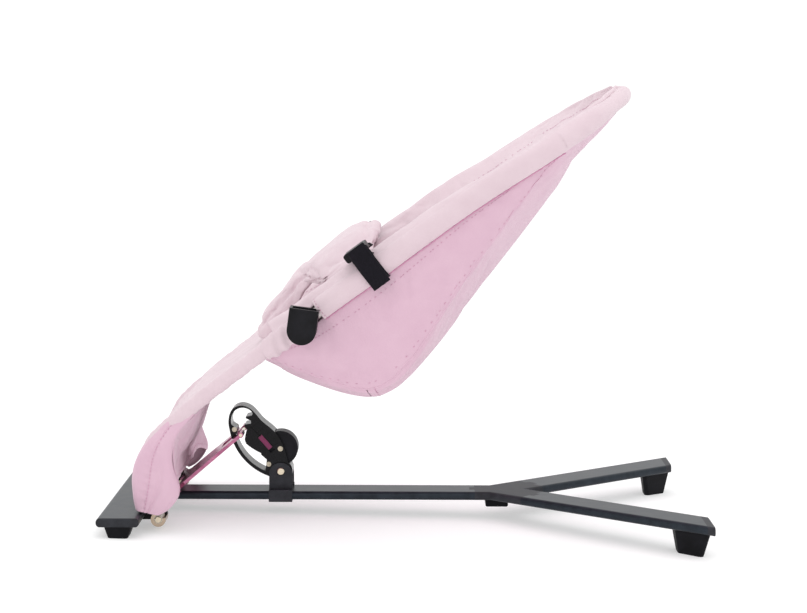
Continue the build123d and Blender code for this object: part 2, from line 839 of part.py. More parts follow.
def make_back_panel():
    """The sling behind the sitter, cut to the hoop's plan."""
    lift = panel_thick * 0.8
    outer = side_points(back_line)
    inner = [(x - lift, 0, z + lift * 0.7) for x, _, z in outer]
    edges = [Polyline(*outer), Line(outer[-1], inner[-1]), Polyline(*reversed(inner)), Line(inner[0], outer[0])]
    face = side_face(*[edge for wire in edges for edge in wire.edges()])
    sling = side_prism(face, -back_half, back_half)
    edge = gusset_half - 2
    half_plan = [(200, edge), (430, edge), (470, edge - 14), (500, edge - 52), (530, edge - 111)]
    plan = half_plan + [(x, -y) for x, y in reversed(half_plan)]
    outline = extrude(make_face(Polyline(*plan, close=True)), 700)
    return at_hinge * (sling & Pos(0, 0, -50) * outline)


def make_side_panel():
    """The gusset between the hoop's sleeve and the seat's bottom, on the +Y side."""
    top = [(134, 201), (160, 217), (339, 355), (434, 421)]
    bottom = [(428, 375), (318, 214), (286, 169), (268, 155), (246, 152)]
    return at_hinge * side_polygon(top + bottom, gusset_half, gusset_half + 2)


belt_line = [(126, 207), (136, 246), (158, 284), (192, 316), (226, 338), (246, 343.5), (256, 339)]


def make_restraint():
    """The padded panel over the sitter's lap, cut from a narrow crotch to a wide top edge."""
    outer = side_points(belt_line)
    inner = [(x + 2.5, 0, z - 4) for x, _, z in outer]
    edges = [Spline(*outer), Line(outer[-1], inner[-1]), Spline(*reversed(inner)), Line(inner[0], outer[0])]
    sheet = side_prism(side_face(*edges), -back_half, back_half)
    half_plan = [(100, 34), (150, 40), (185, 78), (205, 134), (215, 150), (270, 150)]
    plan = half_plan + [(x, -y) for x, y in reversed(half_plan)]
    outline = extrude(make_face(Polyline(*plan, close=True)), 700)
    return at_hinge * (sheet & Pos(0, 0, -50) * outline)


def make_webbing():
    """A loop of webbing round the sleeve with a riser to the buckle, on the +Y side."""
    low = webbing_place - webbing_width / 2
    high = low + webbing_width
    bore = sleeve_radius + fabric_gap
    loop = hip_rod(bore + webbing_thick, low, high) - hip_rod(bore, low - 1, high + 1)
    outer = bore + webbing_thick
    riser = block((-webbing_width / 2, webbing_width / 2), (outer - webbing_thick, outer), (0, buckle_up + 1))
    return loop + on_hoop(webbing_place) * riser


def buckle_axes():
    return on_hoop(buckle_place) * Pos(0, sleeve_radius + fabric_gap - 0.4, buckle_up)


def tab_slot(side, grow=0.0, travel=0.0):
    """The space in the buckle's flank for one squeeze tab."""
    half = buckle_size[0] / 2
    depth = 5
    near = half - depth - grow - travel
    far = half + grow
    x = (near, far) if side > 0 else (-far, -near)
    return block(x, (-22 - grow, -10 + grow), (-2.4 - grow, 2.4 + grow))


def make_buckle():
    """The socket half of a side squeeze buckle, lying across the hoop on the +Y side."""
    length, depth, height = buckle_size
    body = block((-length / 2, length / 2), (-depth, 0), (-height / 2, height / 2))
    body = fillet(body.edges().filter_by(Axis.Y), 3)
    mouth = block((-length / 2 + 5.5, length / 2 - 5.5), (-depth - 1, -5), (-height / 2 + 2.5, height / 2 - 2.5))
    body -= mouth
    for side in (-1, 1):
        body -= tab_slot(side, tab_gap, tab_travel)
    for step in range(3):
        groove = block((-length, length), (-9 - 4 * step, -7.6 - 4 * step), (height / 2 - 0.7, height))
        body -= groove
    return buckle_axes() * body


def make_buckle_plug():
    """The tongue half, sewn to the restraint panel."""
    length, depth, height = buckle_size
    half = length / 2
    tongue = block((-half + 8.5, half - 8.5), (-depth + 1, -7), (-height / 2 + 3, height / 2 - 3))
    flange = block((-half, half), (-depth - 7, -depth - 0.4), (-height / 2 + 1, height / 2 - 1))
    neck = block((-half + 8.5, half - 8.5), (-depth - 1, -depth + 2), (-height / 2 + 3, height / 2 - 3))
    return buckle_axes() * (tongue + neck + flange)


def make_tab(side):
    return buckle_axes() * tab_slot(side)


# ---------------------------------------------------------------- write every piece
def write_base():
    front_cap = make_crossbar_cap()
    save("front_crossbar", base * make_crossbar())
    save("crossbar_caps", base * front_cap, base * mirrored(front_cap))
    save("center_beam", base * make_beam())
    save("beam_socket", base * make_beam_socket())
    save("y_hub", base * make_hub())
    save("hub_pad", base * make_hub_pad())
    save("rear_leg_left", base * make_leg(-1))
    save("rear_leg_right", base * make_leg(1))
    save("rear_leg_caps", *[base * make_leg_cap(side) for side in (-1, 1)])
    slant = tan(radians(leg_splay))
    save("front_feet", *[make_foot(place, front_foot, front_foot_sole) for place in front_foot_places()])
    left, right = rear_foot_places()
    save("rear_feet", *[make_foot(p, rear_foot, rear_foot_sole, s) for p, s in ((left, -slant), (right, slant))])
    save("base_screws", *make_base_screws())
    save("lever_bracket", base * make_bracket())
    save("pivot_pin", make_pivot_pin())
    save_pair("hinge_bracket", make_hinge_bracket())
    save("hinge_pins", make_hinge_pin(), mirrored(make_hinge_pin()))


def save_pair(name, right):
    save(f"{name}_right", right)
    save(f"{name}_left", mirrored(right))


def write_strut_and_lever():
    save("spring_strut", make_strut())
    save("strut_cross_pin", make_cross_pin())
    save("hinge_bushes", make_bush(), mirrored(make_bush()))
    save_pair("lever_shell", make_lever_shell())
    save("lever_screws", *make_lever_screws())
    save("release_drum", make_drum())
    save("drum_axle", make_drum_axle())
    save("latch_slider", make_latch())
    save("latch_spring", make_latch_spring())


def write_seat_frame():
    save("seat_hoop", make_hoop())
    save_pair("leg_tube", drill_rivet(make_leg_tube()))
    save_pair("seat_knuckle", drill_rivet(make_knuckle()))
    save("knuckle_rivets", make_knuckle_rivet(), mirrored(make_knuckle_rivet()))
    save_pair("tube_connector", make_connector())
    save_pair("toy_socket", make_toy_socket())
    save("socket_screws", make_socket_screw(), mirrored(make_socket_screw()))


def write_soft_parts():
    save_pair("side_sleeve", make_side_sleeve())
    save("head_sleeve", make_head_sleeve())
    save_pair("leg_sleeve", make_leg_sleeve())
    save("foot_cover", make_foot_cover())
    save("leg_panel", make_leg_panel())
    save("pocket_base", make_pocket_base())
    save("back_panel", make_back_panel())
    save_pair("side_panel", make_side_panel())
    save("restraint_panel", make_restraint())
    save_pair("webbing_loop", make_webbing())


def write_buckles():
    save_pair("buckle", make_buckle())
    save_pair("buckle_plug", make_buckle_plug())
    save_pair("front_tab", make_tab(-1))
    save_pair("rear_tab", make_tab(1))


os.makedirs("parts", exist_ok=True)
write_base()
write_strut_and_lever()
write_seat_frame()
write_soft_parts()
write_buckles()
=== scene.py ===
import json
import math

import bmesh
import bpy
import numpy as np
from mathutils import Matrix, Vector, noise


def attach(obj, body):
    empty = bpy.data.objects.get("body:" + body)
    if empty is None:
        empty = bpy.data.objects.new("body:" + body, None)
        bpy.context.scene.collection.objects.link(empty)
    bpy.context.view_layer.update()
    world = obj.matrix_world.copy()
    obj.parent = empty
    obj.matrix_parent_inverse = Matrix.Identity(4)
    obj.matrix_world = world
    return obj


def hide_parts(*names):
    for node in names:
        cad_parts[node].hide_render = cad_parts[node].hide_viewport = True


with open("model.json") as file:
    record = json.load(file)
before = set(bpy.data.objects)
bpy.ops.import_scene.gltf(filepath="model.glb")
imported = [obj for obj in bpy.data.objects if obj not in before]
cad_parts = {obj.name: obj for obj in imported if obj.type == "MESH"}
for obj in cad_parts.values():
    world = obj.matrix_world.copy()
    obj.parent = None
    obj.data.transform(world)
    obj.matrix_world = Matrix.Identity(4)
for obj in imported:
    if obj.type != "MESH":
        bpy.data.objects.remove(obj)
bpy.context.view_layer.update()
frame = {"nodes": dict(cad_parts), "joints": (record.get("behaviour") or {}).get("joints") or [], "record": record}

MM = 0.001
joints = {joint["name"]: joint for joint in frame["joints"]}
hinge = Vector(joints["seat_recline"]["pos_m"])


def from_hinge(back, side, up):
    """A point on the seat in metres, from millimetres behind, beside and above the front hinge."""
    return Vector((hinge.x + back * MM, side * MM, hinge.z + up * MM))


# ---------------------------------------------------------------- shader expressions
class Value:
    """A shader socket that takes part in Python arithmetic; each operation adds a Math node."""

    def __init__(self, finish, socket):
        self.finish = finish
        self.socket = socket

    def math(self, operation, *others):
        sockets = {0: self, **dict(enumerate(others, 1))}
        return self.finish.node("ShaderNodeMath", {"operation": operation}, sockets)

    def __add__(self, other):
        return self.math("ADD", other)

    __radd__ = __add__

    def __mul__(self, other):
        return self.math("MULTIPLY", other)

    __rmul__ = __mul__

    def __sub__(self, other):
        return self.math("SUBTRACT", other)

    def __rsub__(self, other):
        return self * -1 + other

    def sine(self):
        return self.math("SINE")

    def clamped(self):
        return self.finish.node("ShaderNodeClamp", {}, {"Value": self})


class Finish:
    """One procedural material, built node by node round a Principled shader."""

    def __init__(self, name, **constants):
        self.material = bpy.data.materials.new(name)
        self.material.use_nodes = True
        self.tree = self.material.node_tree
        self.shader = self.tree.nodes["Principled BSDF"]
        for socket, value in constants.items():
            self.shader.inputs[socket.replace("_", " ")].default_value = value
        place = self.tree.nodes.new("ShaderNodeTexCoord")
        self.place = Value(self, place.outputs["Object"])

    def node(self, kind, settings, inputs, output=0):
        """Adds a node: its settings first, then the values or links of its sockets."""
        made = self.tree.nodes.new(kind)
        for key, value in settings.items():
            if key == "stops":
                self.set_stops(made.color_ramp, value)
            else:
                setattr(made, key, value)
        for key, value in inputs.items():
            if isinstance(value, Value):
                self.tree.links.new(value.socket, made.inputs[key])
            else:
                made.inputs[key].default_value = value
        return Value(self, made.outputs[output])

    def set_stops(self, ramp, stops):
        while len(ramp.elements) < len(stops):
            ramp.elements.new(0.5)
        for element, (position, colour) in zip(ramp.elements, stops):
            element.position = position
            element.color = (*colour, 1)

    def ramp(self, value, *stops):
        return self.node("ShaderNodeValToRGB", {"stops": stops}, {"Fac": value})

    def noise(self, scale, detail=2.0, roughness=0.5, place=None):
        inputs = {"Vector": place or self.place, "Scale": scale, "Detail": detail, "Roughness": roughness}
        return self.node("ShaderNodeTexNoise", {}, inputs)

    def stretched(self, x, y, z):
        """The place on the piece, with each axis scaled."""
        settings = {"operation": "MULTIPLY"}
        return self.node("ShaderNodeVectorMath", settings, {0: self.place, 1: (x, y, z)})

    def axis(self, name):
        outputs = {"x": 0, "y": 1, "z": 2}
        return self.node("ShaderNodeSeparateXYZ", {}, {"Vector": self.place}, outputs[name])

    def mix(self, share, low, high):
        settings = {"data_type": "RGBA"}
        sockets = {"Factor": share, 6: self.colour(low), 7: self.colour(high)}
        return self.node("ShaderNodeMix", settings, sockets, 2)

    def colour(self, value):
        return value if isinstance(value, Value) else (*value, 1)

    def bump(self, height, distance, strength=1.0, under=None):
        inputs = {"Height": height, "Distance": distance, "Strength": strength}
        if under is not None:
            inputs["Normal"] = under
        return self.node("ShaderNodeBump", {}, inputs)

    def feed(self, **links):
        for socket, value in links.items():
            self.tree.links.new(value.socket, self.shader.inputs[socket.replace("_", " ")])
        return self.material


def linear(red, green, blue):
    """A colour given as 0 to 255 display values, as the shader wants it."""
    values = (red, green, blue)
    return tuple(((c / 255 + 0.055) / 1.055) ** 2.4 if c > 10 else c / 3294.6 for c in values)


# ---------------------------------------------------------------- finishes
COTTON_THREAD = 0.0009
WEBBING_RIB = 0.0016
WEBBING_TWILL = 0.0012
CURL_TOP = 0.022
CURL_FADE = 0.005


def cotton(name, base, shade, fleck=0.05):
    """Fine plain weave: crossed threads in the bump, soft blotches and fuzz in the colour."""
    finish = Finish(name, Roughness=0.9, Sheen_Weight=0.35, Sheen_Roughness=0.45, Specular_IOR_Level=0.25)
    threads = 2 * math.pi / COTTON_THREAD
    warp = (finish.axis("x") + finish.axis("z") * 0.6) * threads
    weft = (finish.axis("y") + finish.axis("z") * 0.8 - finish.axis("x") * 0.3) * threads
    weave = warp.sine() * weft.sine()
    blotch = finish.noise(38, 3)
    slub = finish.noise(900, 2)
    mix = (blotch * 0.7 + slub * 0.3 + weave * fleck).clamped()
    tint = finish.ramp(mix, (0.25, shade), (0.75, base))
    fuzz = finish.bump(slub, 0.0006, 0.5)
    surface = finish.bump(weave, 0.00012, 0.35, fuzz)
    rough = finish.noise(300) * 0.12 + 0.82
    return finish.feed(Base_Color=tint, Normal=surface, Roughness=rough)


def anodised():
    """Black anodised bar: faint draw lines along the bars, dust and slightly rubbed places."""
    finish = Finish("anodised_black", Metallic=0.6, Specular_IOR_Level=0.35)
    lines = finish.noise(1, 3, place=finish.stretched(30, 1400, 1400))
    dust = finish.noise(70, 6, 0.65)
    wear = dust * 0.6 + lines * 0.4
    tint = finish.ramp(wear, (0.35, linear(30, 35, 41)), (0.7, linear(47, 55, 63)))
    rough = lines * 0.14 + dust * 0.1 + 0.26
    return finish.feed(Base_Color=tint, Roughness=rough, Normal=finish.bump(lines, 0.00004, 0.4))


def moulded(name, low, high, rough=0.45, grain=900, depth=0.00005, **constants):
    """Moulded plastic or rubber with a spark-eroded grain and a few scuffs."""
    finish = Finish(name, **constants)
    leather = finish.node("ShaderNodeTexVoronoi", {}, {"Vector": finish.place, "Scale": grain})
    scuff = finish.noise(55, 5, 0.7)
    tint = finish.ramp(scuff, (0.35, low), (0.7, high))
    roughness = scuff * 0.2 + (rough - 0.1)
    return finish.feed(Base_Color=tint, Roughness=roughness, Normal=finish.bump(leather, depth, 0.5))


def metal(name, low, high, rough, streak=(900, 60, 900), foot=None, **constants):
    """Bright metal with fine polishing streaks; foot is the colour of its lowest, rolled part."""
    finish = Finish(name, Metallic=1.0, **constants)
    streaks = finish.noise(1, 4, place=finish.stretched(*streak))
    haze = finish.noise(40, 3)
    tint = finish.ramp(streaks * 0.5 + haze * 0.5, (0.35, low), (0.65, high))
    if foot:
        # Below CURL_TOP the foot colour replaces the tint, so a painted reflection carried by the tint stops at
        # the rolled foot.
        tint = finish.mix(((finish.axis("z") - CURL_TOP) * (1 / CURL_FADE)).clamped(), foot, tint)
    polish = finish.bump(streaks, 0.00002, 0.3)
    roughness = streaks * 0.1 + haze * 0.08 + rough
    return finish.feed(Base_Color=tint, Roughness=roughness, Normal=polish)


def webbing_weave():
    """Black webbing: ribs across the strap and a twill along it."""
    finish = Finish("webbing_black", Sheen_Weight=0.06, Specular_IOR_Level=0.1)
    across = (finish.axis("x") * 0.8 + finish.axis("z") * 0.6) * (2 * math.pi / WEBBING_RIB)
    twill = finish.axis("y") + finish.axis("z") * 0.8 - finish.axis("x") * 0.6
    around = twill * (2 * math.pi / WEBBING_TWILL)
    rib = across.sine() * around.sine()
    fuzz = finish.noise(700, 3)
    wear = (rib * 0.25 + fuzz * 0.6 + 0.1).clamped()
    tint = finish.ramp(wear, (0.2, linear(8, 7, 11)), (0.7, linear(34, 31, 40)))
    return finish.feed(Base_Color=tint, Roughness=fuzz * 0.2 + 0.65, Normal=finish.bump(rib, 0.0002, 0.6))


# The two cottons below are one cloth in two copies. The first is the lighter, lit copy for the sleeves, liner, lap
# panel, leg pieces and foot front. The second is the pinker, darker, shaded copy for the gussets, sling, piping,
# foot walls and foot rear. The difference between them is painted light and shade.
lit_pink = cotton("cotton_lit", linear(221, 201, 208), linear(213, 191, 199))
shaded_pink = cotton("cotton_shaded", linear(218, 184, 200), linear(211, 175, 193))
thread_pink = cotton("thread_rose", linear(208, 148, 178), linear(198, 136, 168))
strap_black = webbing_weave()
bar_black = anodised()
hub_slate = moulded("hub_slate", linear(30, 31, 36), linear(48, 50, 56), 0.5, Specular_IOR_Level=0.25)
lever_gloss = moulded(
    "lever_gloss", linear(8, 8, 10), linear(16, 16, 20), 0.22, 500, 0.00002,
    Specular_IOR_Level=0.14, Coat_Weight=0.06,
)
satin_black = moulded("satin_black", linear(10, 9, 12), linear(24, 23, 28), 0.38, Specular_IOR_Level=0.15)
foot_rubber = moulded(
    "foot_rubber", linear(10, 10, 13), linear(24, 24, 29), 0.62, 1200, 0.00008, Specular_IOR_Level=0.12
)
drum_slate = moulded("drum_slate", linear(14, 14, 18), linear(28, 28, 34), 0.4, Specular_IOR_Level=0.14)
acetal_white = moulded("acetal_white", linear(205, 200, 188), linear(228, 222, 210), 0.4)
latch_magenta = moulded("latch_magenta", linear(96, 4, 58), linear(130, 10, 84), 0.3, 700, 0.00003)
warm_chrome = metal("warm_chrome", linear(196, 182, 158), linear(232, 222, 200), 0.1)
zinc = metal("zinc_plated", linear(150, 140, 122), linear(205, 196, 178), 0.2)
# The mauve colours of this steel are a painted reflection of the pink seat cloth above the plate. The rolled foot
# at the bottom gets the separate warm foot colour instead.
steel_painted_pink_reflection = metal(
    "steel_painted_pink_reflection", linear(150, 82, 114), linear(190, 124, 152), 0.16, (40, 900, 900),
    foot=linear(178, 160, 140),
)
tube_grey = metal("tube_enamel", linear(180, 176, 172), linear(210, 206, 202), 0.35)

finish_of = {
    "anodised_bar": bar_black, "steel_tube": tube_grey, "strut_plate": steel_painted_pink_reflection,
    "bright_steel": warm_chrome, "screw_steel": zinc, "hub_plastic": hub_slate,
    "black_plastic": lever_gloss, "satin_plastic": satin_black, "foot_rubber": foot_rubber,
    "bush_plastic": acetal_white, "latch_magenta": latch_magenta, "drum_grey": drum_slate,
    "pink_fabric": shaded_pink, "webbing_black": strap_black,
}
for part in frame["record"]["subparts"]:
    slots = frame["nodes"][part["node"]].data.materials
    slots.clear()
    slots.append(finish_of[part["material_slot"]])


# ---------------------------------------------------------------- cloth shapes
def through(points, count):
    """A smooth line through the given points, as count points spaced evenly along it."""
    knots = np.array([tuple(point) for point in points], float)
    ends = np.vstack([2 * knots[0] - knots[1], knots, 2 * knots[-1] - knots[-2]])
    share = np.linspace(0, 1, 24, endpoint=False)[:, None]
    runs = []
    for a, b, c, d in zip(ends, ends[1:], ends[2:], ends[3:]):
        bend = 2 * b + (c - a) * share + (2 * a - 5 * b + 4 * c - d) * share**2
        runs.append(0.5 * (bend + (3 * b - a - 3 * c + d) * share**3))
    line = np.vstack(runs + [knots[-1:]])
    return spaced(line, count)


def spaced(line, count):
    """The same line as count evenly spaced points."""
    steps = np.linalg.norm(np.diff(line, axis=0), axis=1)
    along = np.concatenate([[0], np.cumsum(steps)])
    wanted = np.linspace(0, along[-1], count)
    return np.stack([np.interp(wanted, along, line[:, i]) for i in range(line.shape[1])], 1)


def bent(corners, radii, count):
    """A path of straight runs joined by tangent arcs, as count evenly spaced points."""
    corners = [np.array(corner, float) for corner in corners]
    path = [corners[0]]
    for before, corner, after, radius in zip(corners, corners[1:], corners[2:], radii):
        back = (before - corner) / np.linalg.norm(before - corner)
        ahead = (after - corner) / np.linalg.norm(after - corner)
        half_turn = math.acos(float(np.clip(back @ ahead, -1, 1))) / 2
        middle = (back + ahead) / np.linalg.norm(back + ahead)
        centre = corner + middle * radius / math.sin(half_turn)
        start = corner + back * radius / math.tan(half_turn) - centre
        end = corner + ahead * radius / math.tan(half_turn) - centre
        turn = math.pi - 2 * half_turn
        for step in np.linspace(0, 1, 25):
            weight = math.sin((1 - step) * turn), math.sin(step * turn)
            path.append(centre + (start * weight[0] + end * weight[1]) / math.sin(turn))
    path.append(corners[-1])
    return spaced(np.array(path), count)


def ease(value, low, high):
    """0 below low, 1 above high and smooth in between."""
    share = np.clip((value - low) / (high - low), 0, 1)
    return share * share * (3 - 2 * share)


def rumple(points, scale, seed):
    """Smooth random heights from -1 to 1 at each point, for folds and slack."""
    flat = points.reshape(-1, 3)
    shift = Vector((seed * 7.1, seed * 3.7, seed * 5.3))
    heights = [noise.noise(Vector(point) / (scale * MM) + shift) for point in flat]
    return np.array(heights).reshape(points.shape[:-1])


def grid_normals(grid):
    """The surface direction at each point of a grid of points."""
    along = np.gradient(grid, axis=0)
    across = np.gradient(grid, axis=1)
    normal = np.cross(along, across)
    return normal / np.maximum(np.linalg.norm(normal, axis=2, keepdims=True), 1e-12)


def cloth(name, grid, finish, ring=False, thick=0.0):
    """A sheet of cloth from a grid of points in metres; ring closes it across."""
    rows, columns = grid.shape[:2]
    wide = columns if ring else columns - 1
    faces = []
    for i in range(rows - 1):
        for j in range(wide):
            k = (j + 1) % columns
            row, below = i * columns, (i + 1) * columns
            faces.append((row + j, row + k, below + k, below + j))
    mesh = bpy.data.meshes.new(name)
    mesh.from_pydata([tuple(point) for point in grid.reshape(-1, 3)], [], faces)
    return dress(name, mesh, finish, thick, smooth_levels=1)


def dress(name, mesh, finish, thick=0.0, smooth_levels=0):
    """Makes a piece of the seat from a mesh: its finish, wall thickness, smoothing, body and slot."""
    mesh.update()
    for face in mesh.polygons:
        face.use_smooth = True
    mesh.materials.append(finish)
    piece = bpy.data.objects.new(name, mesh)
    bpy.context.scene.collection.objects.link(piece)
    if thick:
        wall = piece.modifiers.new("thickness", "SOLIDIFY")
        wall.thickness = thick * MM
        wall.offset = 0.0
    if smooth_levels:
        piece.modifiers.new("smooth", "SUBSURF").levels = smooth_levels
        piece.modifiers["smooth"].render_levels = smooth_levels
    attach(piece, "seat")
    return piece


def ring_frames(path, up):
    """Directions out (sideways) and up, square to a path, at each of its points."""
    ahead = np.gradient(path, axis=0)
    ahead /= np.linalg.norm(ahead, axis=1, keepdims=True)
    up = np.array(up, float) - ahead * (ahead @ np.array(up, float))[:, None]
    up /= np.linalg.norm(up, axis=1, keepdims=True)
    return np.cross(ahead, up), up


def wrapped(path, up, radius, turns):
    """A grid of rings round a path: radius(row share, angle) in millimetres, angle 0 outwards and 90 up."""
    out, up = ring_frames(path, up)
    angle = np.linspace(0, 2 * math.pi, turns, endpoint=False)
    share = np.linspace(0, 1, len(path))
    size = radius(share[:, None], angle[None, :]) * MM
    around = out[:, None] * np.cos(angle)[None, :, None] + up[:, None] * np.sin(angle)[None, :, None]
    return path[:, None] + around * size[:, :, None]


def mirrored(grid):
    """The same grid on the other side of the seat, still facing outwards."""
    other = grid * np.array([1, -1, 1])
    return other[::-1]


def length_of(line):
    """The length of a line of points in metres, as millimetres."""
    return np.linalg.norm(np.diff(line, axis=0), axis=1).sum() / MM


def even_wall(radius):
    """A tube wall that is the same all the way along and round, for wrapped."""
    return lambda share, angle: np.full(np.broadcast(share, angle).shape, radius)


STITCH_LENGTH = 2.6
STITCH_GAP = 1.6
STITCH_HALF = 0.32
STITCH_LIFT = 0.9


def stitches(name, line, normal):
    """A row of thread stitches lying along a line on the cloth."""
    count = max(2, int(length_of(line) / (STITCH_LENGTH + STITCH_GAP)))
    centres = spaced(np.hstack([line, normal]), count)
    shape = bmesh.new()
    for index in range(count):
        centre, facing = centres[index, :3], centres[index, 3:]
        ahead = centres[min(index + 1, count - 1), :3] - centres[max(index - 1, 0), :3]
        ahead = Vector(ahead).normalized()
        facing = Vector(facing).normalized()
        side = ahead.cross(facing).normalized()
        facing = side.cross(ahead)
        rings = []
        for place, size in ((-0.5, 0.35), (-0.3, 1), (0.3, 1), (0.5, 0.35)):
            middle = Vector(centre) + ahead * (STITCH_LENGTH * place * MM)
            ring = []
            for a, b in ((1, 0), (0, 0.8), (-1, 0), (0, -0.8)):
                ring.append(shape.verts.new(middle + (side * a + facing * b) * (STITCH_HALF * size * MM)))
            rings.append(ring)
        for low, high in zip(rings, rings[1:]):
            for j in range(4):
                shape.faces.new((low[j], low[(j + 1) % 4], high[(j + 1) % 4], high[j]))
        shape.faces.new(reversed(rings[0]))
        shape.faces.new(rings[-1])
    mesh = bpy.data.meshes.new(name)
    shape.to_mesh(mesh)
    shape.free()
    return dress(name, mesh, thread_pink)


# ---------------------------------------------------------------- the seat's own lines
SEAT_UP = (-0.6, 0, 0.8)
HIP = (164, 178, 240.5)
SHOULDER = (339, 192, 377)
CROWN_START = (479, 192, 473.5)
CROWN = (541.5, 62, 514)
HEEL_END = (-11, 8)
TOE = (-29, 76.5)
CALF = (50.5, 148.3)
HOOP_BENDS = (600 * MM, 100 * MM, 200 * MM)
LEG_BENDS = (300 * MM, 84 * MM)
CALF_SIDE = -156
TOE_SIDE = -148
HEEL_SIDE = -146


def other_side(point):
    return point[0], -point[1], point[2]


def seat_line(points):
    return np.array([from_hinge(*point) for point in points])


def hoop_line(count):
    """The hoop's centre line, from the left hip over the head to the right hip."""
    left = [other_side(point) for point in (HIP, SHOULDER, CROWN_START, CROWN)]
    right = [CROWN, CROWN_START, SHOULDER, HIP]
    return bent(seat_line(left + right), HOOP_BENDS + HOOP_BENDS[::-1], count)


def leg_line(count):
    """A lower tube's centre line on the left, from the hip down round the toe to the heel."""
    corners = ((CALF, CALF_SIDE), (TOE, TOE_SIDE), (HEEL_END, HEEL_SIDE))
    points = [other_side(HIP)] + [(back, side, up) for (back, up), side in corners]
    return bent(seat_line(points), LEG_BENDS, count)


# ---------------------------------------------------------------- sewing
SEAM_ALLOWANCE = 0.02
WEBBING_ALLOWANCE = 0.004
LEAST_CUT = 0.301
SHEET_THICK = 1.2
PIPING_RADIUS = 1.3
SEAM_ROLL_RADIUS = 0.9


def on_seat(shape):
    """Millimetres behind, beside and above the front hinge, as metres in the row frame."""
    return np.array(shape, float) * MM + np.array(hinge)


def settle(grid, sewn, frames, spare, pull):
    """Lets a sheet buckle as cloth: sewn down where sewn is True, cut with spare slack, pull of gravity."""
    rows, columns = grid.shape[:2]
    faces = []
    for i in range(rows - 1):
        for j in range(columns - 1):
            k = i * columns + j
            faces.append((k, k + 1, k + columns + 1, k + columns))
    mesh = bpy.data.meshes.new("settling")
    mesh.from_pydata([tuple(point) for point in grid.reshape(-1, 3)], [], faces)
    piece = bpy.data.objects.new("settling", mesh)
    bpy.context.scene.collection.objects.link(piece)
    piece.vertex_groups.new(name="sewn").add([int(i) for i in np.flatnonzero(sewn)], 1.0, "REPLACE")
    fabric = piece.modifiers.new("fabric", "CLOTH")
    fabric.settings.quality = 7
    fabric.settings.mass = 0.12
    fabric.settings.tension_stiffness = 60
    fabric.settings.compression_stiffness = 30
    fabric.settings.shear_stiffness = 20
    fabric.settings.bending_stiffness = 0.9
    fabric.settings.vertex_group_mass = "sewn"
    fabric.settings.shrink_min = -spare
    fabric.settings.effector_weights.gravity = pull
    fabric.point_cache.frame_start = 1
    fabric.point_cache.frame_end = frames
    scene = bpy.context.scene
    for frame_number in range(1, frames + 1):
        scene.frame_set(frame_number)
    worn = piece.evaluated_get(bpy.context.evaluated_depsgraph_get()).data
    places = np.zeros(rows * columns * 3)
    worn.vertices.foreach_get("co", places)
    bpy.data.objects.remove(piece)
    bpy.data.meshes.remove(mesh)
    scene.frame_set(1)
    return places.reshape(grid.shape)


def pillow(name, grid, puff, finish):
    """Two sheets sewn together round the edge with wadding between; puff is its height in millimetres."""
    normal = grid_normals(grid)
    rows, columns = grid.shape[:2]
    shape = bmesh.new()
    for side in (1, -0.7):
        points = (grid + normal * (puff * side * MM)[..., None]).reshape(-1, 3)
        corners = [shape.verts.new(tuple(point)) for point in points]
        for i in range(rows - 1):
            for j in range(columns - 1):
                k = i * columns + j
                ring = [corners[k], corners[k + columns], corners[k + columns + 1], corners[k + 1]]
                shape.faces.new(ring if side > 0 else ring[::-1])
    bmesh.ops.remove_doubles(shape, verts=shape.verts, dist=0.00002)
    mesh = bpy.data.meshes.new(name)
    shape.to_mesh(mesh)
    shape.free()
    return dress(name, mesh, finish, smooth_levels=1)


def edge_distance(rows, columns, length, width):
    """How far each point of a grid is from its edge, in millimetres."""
    down = np.linspace(0, length, rows)[:, None]
    across = np.linspace(0, width, columns)[None, :]
    return np.minimum(np.minimum(down, length - down), np.minimum(across, width - across))


def cut_size(grid, allowance=SEAM_ALLOWANCE):
    """The rectangle of cloth that a sheet is cut from, in metres, with its seam allowance."""
    wide = np.linalg.norm(np.diff(grid, axis=1), axis=2).sum(1).max()
    long = np.linalg.norm(np.diff(grid, axis=0), axis=2).sum(0).max()
    return round(float(wide) + allowance, 3), round(float(long) + allowance, 3)


def cut_area(grid, flat):
    """The sheet's area in square metres, held between the least and the whole of its rectangle."""
    one = np.cross(grid[1:, :-1] - grid[:-1, :-1], grid[:-1, 1:] - grid[:-1, :-1])
    two = np.cross(grid[1:, :-1] - grid[1:, 1:], grid[:-1, 1:] - grid[1:, 1:])
    area = (np.linalg.norm(one, axis=2).sum() + np.linalg.norm(two, axis=2).sum()) / 2
    return float(np.clip(area, LEAST_CUT * flat[0] * flat[1], flat[0] * flat[1]))


def sewn_sheet(name, grid, finish, node):
    """A sheet sewn and stretched over the frame, in place of one of the plain fabric nodes."""
    piece = cloth(name, grid, finish, thick=SHEET_THICK)
    flat = cut_size(grid)
    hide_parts(node)
    cut_area(grid, flat)


def seam(name, grid, line, facing_out):
    """Stitches along one column or row of points of a grid, as picked by line(grid)."""
    normal = grid_normals(grid) * facing_out
    along = line(grid) + line(normal) * STITCH_LIFT * MM
    stitches(name, along, line(normal))


# ---------------------------------------------------------------- sling behind and under the sitter
SLING = (
    # where the hoop is (back, up), where the sling hangs to (back, up), half the hoop's width
    (122, 205, 124, 192, 166), (140, 221, 160, 176, 173), (164, 238, 206, 160, 178),
    (190, 260, 246, 152.5, 181), (215, 280, 268.8, 159.8, 183), (250, 307, 291.5, 180.9, 186),
    (290, 338, 324.5, 229.7, 190), (339, 377, 370, 302, 192), (390, 412, 415, 366, 192),
    (430, 440, 455, 421, 191), (466, 465, 482, 458, 183), (500, 488, 508, 480, 143),
    (520, 501, 525, 494, 96), (533, 509, 536, 504, 52), (539, 513, 541, 510, 26),
)
GUSSET_COLUMNS = 26
BACK_COLUMNS = 73
SLING_ROWS = 116
LOWEST_BACK = 247
QUILT_PITCH = 50
RIM_COLUMN = 14


